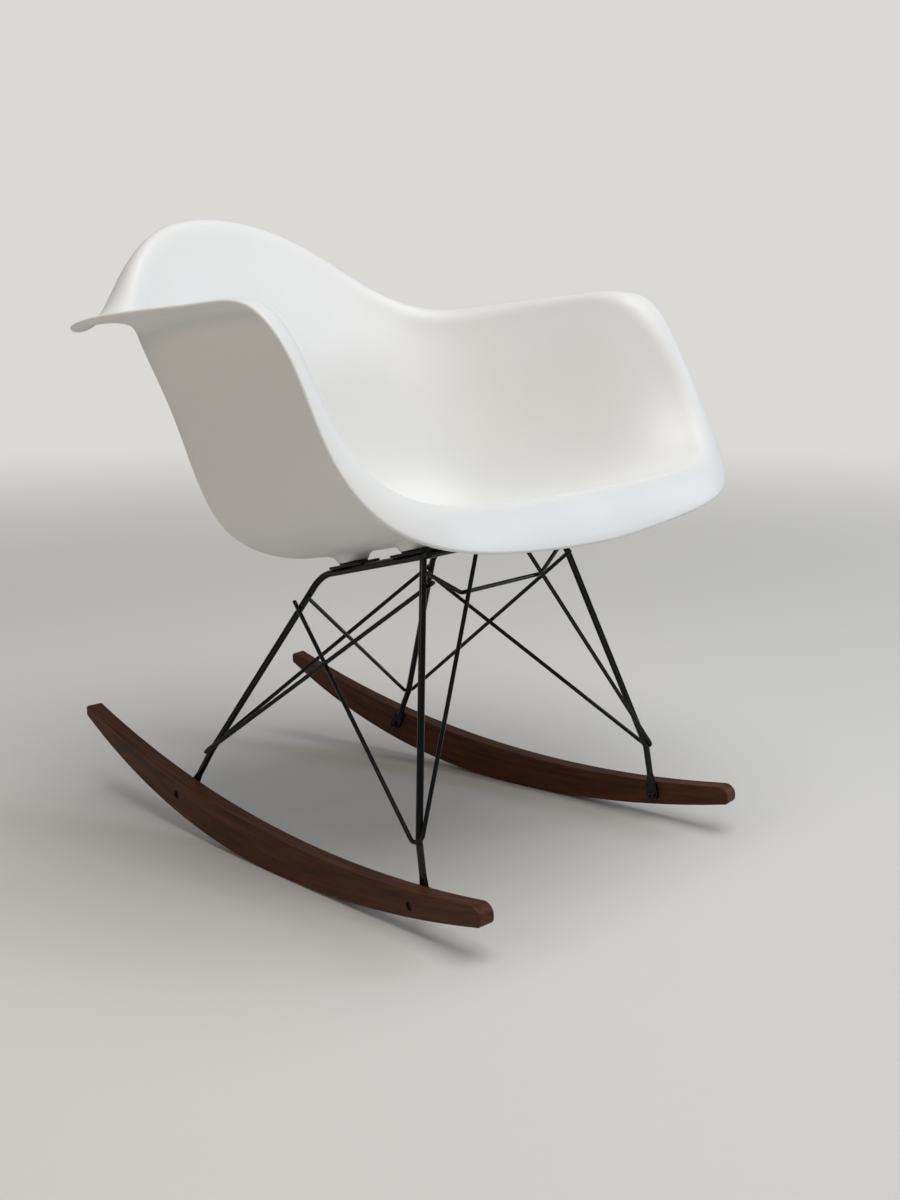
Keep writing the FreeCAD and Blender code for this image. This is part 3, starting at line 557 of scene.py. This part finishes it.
# %% [markdown]
# ## Moulded polypropylene for the shell
# The shell is dyed in the mass, so its colour goes right through, and the mould's faces are
# blasted to give a fine even grain that hides scratches. That makes broad soft highlights. The
# colour drifts by about one part in a hundred either way over hand-sized patches, and the grain is
# under half a millimetre wide and about ten microns deep. A flat colour with one roughness would
# look right from far away and like a computer picture from close by.

# %% Moulded polypropylene
HAND_PATCH = 0.09
SHINE_PATCH = 0.012
GRAIN_WIDTH = 0.00045
GRAIN_DEPTH = 0.000012
plastic, tree, surface = new_material("polypropylene_moulded", {"IOR": 1.49})
tone = mix_colours(tree, noise(tree, HAND_PATCH), linear("#E4E4E1"), linear("#E8E8E6"))
tree.links.new(tone, surface.inputs["Base Color"])
vary_roughness(tree, surface, noise(tree, SHINE_PATCH), low=0.39, high=0.45)
raise_surface(tree, surface, noise(tree, GRAIN_WIDTH, detail=1.0), GRAIN_DEPTH)
shell.data.materials.append(plastic)
print("shell material:", plastic.name)

# %% [markdown]
# ## Powder coat for the base
# The rods are steel, welded while bare and then powder coated: a charged plastic powder is blown
# on and baked until it flows. It levels out to a glossy black skin with a faint orange peel about
# two millimetres across. On rods as thin as these the photo shows it as a narrow, slightly broken
# highlight on deep black, so roughness and reflection are low and the peel stays shallow.

# %% Powder coat
PEEL_WIDTH = 0.0018
PEEL_DEPTH = 0.000006
COAT_PATCH = 0.02
coat, tree, surface = new_material("steel_powder_coated_black", {
    "Base Color": linear("#020202"), "IOR": 1.5, "Specular IOR Level": 0.32})
vary_roughness(tree, surface, noise(tree, COAT_PATCH), low=0.14, high=0.20)
raise_surface(tree, surface, noise(tree, PEEL_WIDTH, detail=1.0), PEEL_DEPTH)
print("base material:", coat.name)

# %% [markdown]
# ## Wood whose grain follows the curve
# Each rocker is cut from wood bent over a form, so its grain follows the curve instead of running
# out at the ends. The material does the same. A point's distance from the centre of the curve says
# how deep it lies in the wood, and its angle round that centre, times the radius, says how far
# along the grain it is. With straight coordinates the grain would cut across the rocker's ends.

# %% Coordinates inside the wood
CURVE_CENTRE_Y, CURVE_CENTRE_Z = -0.06, 1.12
CURVE_RADIUS = 1.12
wood, tree, surface = new_material("hardwood_stained_oiled", {
    "IOR": 1.45, "Specular IOR Level": 0.22})
axes = add(tree, "ShaderNodeSeparateXYZ", {0: object_point(tree)}).outputs
from_y = calculate(tree, "SUBTRACT", axes["Y"], CURVE_CENTRE_Y)
from_z = calculate(tree, "SUBTRACT", CURVE_CENTRE_Z, axes["Z"])
along = calculate(tree, "MULTIPLY", calculate(tree, "ARCTAN2", from_y, from_z), CURVE_RADIUS)
flat_point = add(tree, "ShaderNodeCombineXYZ", {0: from_y, 1: from_z}).outputs[0]
deep = add(tree, "ShaderNodeVectorMath", {0: flat_point}, operation="LENGTH").outputs["Value"]
in_wood = add(tree, "ShaderNodeCombineXYZ", {0: axes["X"], 1: along, 2: deep}).outputs[0]
print("grain runs round a centre", CURVE_RADIUS, "m above the floor")

# %% [markdown]
# ## Bands, pores and oil
# Streaks a few millimetres wide and some twenty centimetres long carry the dark and light growth
# bands. Pores are half a millimetre wide and a centimetre long, darker and a little sunk. The wood
# is stained dark and oiled, and the light bands drink less of both, so the bands differ a little
# in shine too. Both patterns are the same noise in the wood's own coordinates, only drawn out by
# different lengths.

# %% Stained and oiled hardwood
BAND_WIDTH, BAND_LENGTH = 0.005, 0.20
PORE_WIDTH, PORE_LENGTH = 0.0006, 0.012
PORE_DARKNESS = 0.35
PORE_DEPTH = 0.00006
bands = noise(tree, (BAND_WIDTH, BAND_LENGTH, BAND_WIDTH), detail=4.0, point=in_wood)
pores = noise(tree, (PORE_WIDTH, PORE_LENGTH, PORE_WIDTH), detail=1.0, point=in_wood)
tone = add(tree, "ShaderNodeMapRange", {"Value": bands, "From Min": 0.33,
                                        "From Max": 0.68}).outputs[0]
pore = add(tree, "ShaderNodeMapRange", {"Value": pores, "From Min": 0.60,
                                        "From Max": 0.70}).outputs[0]
banded = mix_colours(tree, tone, linear("#3A200D"), linear("#563013"))
pored = mix_colours(tree, spread(tree, pore, 0.0, PORE_DARKNESS), banded, linear("#160A05"))
tree.links.new(pored, surface.inputs["Base Color"])
vary_roughness(tree, surface, tone, low=0.48, high=0.38)
raise_surface(tree, surface, calculate(tree, "SUBTRACT", 1.0, pore), PORE_DEPTH)
print("rocker material:", wood.name)

# %% [markdown]
# ## Small parts: zinc, brass and rubber
# The screws under the seat are zinc plated, which stays matt grey and slightly blue. The rocker
# bolts and their nuts are zinc plated too, but were dipped in a black passivating bath afterwards,
# so they are dark with a soft shine and don't stand out against the wood. The inserts are turned
# brass, and the pads between plate and boss are black rubber, which keeps the plastic from creaking
# on the steel. On metals the base colour is the colour of the reflection itself. All four are tiny
# in the picture, so each gets a true colour and a patchy shine, and no more.

# %% Small materials
ZINC_MOTTLE = 0.001
BLACK_MOTTLE = 0.0015
TURNED_MARKS = (0.0006, 0.0006, 0.00018)
RUBBER_DUST = 0.002
zinc, tree, surface = new_material("steel_zinc_plated", {
    "Base Color": linear("#B4B7BA"), "Metallic": 1.0})
vary_roughness(tree, surface, noise(tree, ZINC_MOTTLE), low=0.30, high=0.46)

black_zinc, tree, surface = new_material("steel_zinc_plated_black_passivated", {
    "Base Color": linear("#3A3A3D"), "Metallic": 1.0})
vary_roughness(tree, surface, noise(tree, BLACK_MOTTLE), low=0.28, high=0.42)

brass, tree, surface = new_material("brass_turned", {
    "Base Color": linear("#C8A55F"), "Metallic": 1.0})
vary_roughness(tree, surface, noise(tree, TURNED_MARKS), low=0.24, high=0.38)

rubber, tree, surface = new_material("rubber_moulded_black", {
    "Base Color": linear("#1B1B1C"), "IOR": 1.52})
vary_roughness(tree, surface, noise(tree, RUBBER_DUST), low=0.68, high=0.82)
print("small materials:", zinc.name, black_zinc.name, brass.name, rubber.name)

# %% [markdown]
# ## Every piece gets its finish
# The record of the engineering model says for each piece which finish it has, as a slot such as
# base or rocker. Looking the material up by that slot, and not piece by piece, means that all
# rods share one coat and that a later change of finish is one line.

# %% Finishes by slot
finishes = {"base": coat, "rocker": wood, "bolt": black_zinc, "screw": zinc, "insert": brass,
            "pad": rubber, "shell": plastic}
slot_of = {part["node"]: part["material_slot"] for part in frame["record"]["subparts"]}
for name, piece in nodes.items():
    piece.data.materials.clear()
    piece.data.materials.append(finishes[slot_of[name]])
print("finished", len(nodes), "engineering pieces")

# %% [markdown]
# ## The floor
# The chair stands on a plain pale studio floor that only has to catch its shadow. Near the chair
# it is an ordinary matt surface. Further out the camera sees it fade into the colour of the room,
# so no horizon line cuts the picture. A curved backdrop would do that too, but it would show its
# bend from other angles. The fade uses the floor's own coordinates and acts on camera rays only,
# so the light that the floor sends back up to the chair stays honest.

# %% Floor
ROOM_TONE = linear("#DAD9D5")
FLOOR_SIDE = 24.0
FADE_START, FADE_END = 0.9, 4.2
half = FLOOR_SIDE / 2
floor_mesh = bpy.data.meshes.new("floor")
floor_mesh.from_pydata([(-half, -half, 0), (half, -half, 0), (half, half, 0), (-half, half, 0)],
                       [], [(0, 1, 2, 3)])
floor = bpy.data.objects.new("floor", floor_mesh)
scene.collection.objects.link(floor)

matt, tree, surface = new_material("studio_floor_matt", {
    "Base Color": linear("#D4D2CD"), "Roughness": 0.85})
output = surface.outputs[0].links[0].to_node
far = add(tree, "ShaderNodeVectorMath", {0: object_point(tree)}, operation="LENGTH")
fade = add(tree, "ShaderNodeMapRange", {
    "Value": far.outputs["Value"], "From Min": FADE_START, "From Max": FADE_END},
    interpolation_type="SMOOTHSTEP").outputs[0]
seen = add(tree, "ShaderNodeLightPath").outputs["Is Camera Ray"]
share = calculate(tree, "MULTIPLY", fade, seen)
glow = add(tree, "ShaderNodeEmission", {"Color": ROOM_TONE, "Strength": 1.0}).outputs[0]
mixed = add(tree, "ShaderNodeMixShader", {0: share, 1: surface.outputs[0], 2: glow})
tree.links.new(mixed.outputs[0], output.inputs["Surface"])
floor_mesh.materials.append(matt)
print("floor side", FLOOR_SIDE, "m, fading from", FADE_START, "to", FADE_END, "m")

# %% [markdown]
# ## The room
# In the photograph the walls send back a weak and even light, which keeps the shadows open. Walls
# aren't needed for that: the world's background does it. To the camera the background shows the
# room's tone, and to everything else it is a much weaker, slightly cool light.

# %% Room
ROOM_LIGHT = 0.25
room = bpy.data.worlds.new("room")
scene.world = room
room.use_nodes = True
tree = room.node_tree
tree.nodes.clear()
seen = add(tree, "ShaderNodeLightPath").outputs["Is Camera Ray"]
shown = add(tree, "ShaderNodeBackground", {"Color": ROOM_TONE, "Strength": 1.0}).outputs[0]
lit = add(tree, "ShaderNodeBackground", {"Color": linear("#F6F7FA"), "Strength": ROOM_LIGHT})
mixed = add(tree, "ShaderNodeMixShader", {0: seen, 1: lit.outputs[0], 2: shown}).outputs[0]
add(tree, "ShaderNodeOutputWorld", {"Surface": mixed})
print("room light:", ROOM_LIGHT)

# %% [markdown]
# ## Soft studio light
# In the photograph most light falls from above, a little in front of the chair: the seat and the
# inside of both arms are bright, and the outside of the near arm, which leans over the floor, is
# in shade. So one large area light hangs overhead, and its size gives the shadow on the floor a
# soft edge. A smaller and cooler one stands where the room's window is, to the right, and draws
# the bright line along the lip. The shaded side gets its light back from the floor. In the
# photograph that light is a little warmer than the rest, so a third, weak and warm lamp stands
# on the left.

# %% Lights


def area_light(name, place, aim, side, power, code):
    """A square area light at a place in metres, turned to look at aim."""
    data = bpy.data.lights.new(name, "AREA")
    data.size = side
    data.energy = power
    data.color = linear(code)[:3]
    lamp = bpy.data.objects.new(name, data)
    scene.collection.objects.link(lamp)
    lamp.location = place
    lamp.rotation_euler = (Vector(aim) - Vector(place)).to_track_quat("-Z", "Y").to_euler()
    print(name, "with", power, "W")


area_light("overhead", place=(-0.1, -0.9, 3.6), aim=(0, 0, 0.3), side=3.2, power=103,
           code="#FFFFFF")
area_light("window", place=(2.3, -1.9, 1.5), aim=(0, 0, 0.45), side=0.9, power=21,
           code="#DCEBFF")
area_light("spot_bounce", place=(-2.4, 0.5, 1.5), aim=(0, 0, 0.45), side=0.5, power=5.5,
           code="#FFD9AE")

# %% [markdown]
# ## The camera at the photograph's angle
# The camera's place and aim were solved from the photograph together with the chair's shape: a
# lens of 45 millimetres on a 36 millimetre frame, about as high as the chair's arms, looking a
# little down at its front corner. Keeping that same view makes each comparison with the photograph
# direct. The Standard view transform shows colours as they are written.

# %% Camera
CAMERA_PLACE = (-1.2538, -1.1937, 0.651)
CAMERA_TILT = 77.58
CAMERA_TURN = -48.92
camera_data = bpy.data.cameras.new("camera")
camera_data.lens = 45.0
camera_data.sensor_width = 36.0
camera = bpy.data.objects.new("camera", camera_data)
scene.collection.objects.link(camera)
camera.location = CAMERA_PLACE
camera.rotation_euler = (math.radians(CAMERA_TILT), 0.0, math.radians(CAMERA_TURN))
scene.camera = camera
scene.view_settings.view_transform = "Standard"
print("camera at", CAMERA_PLACE)
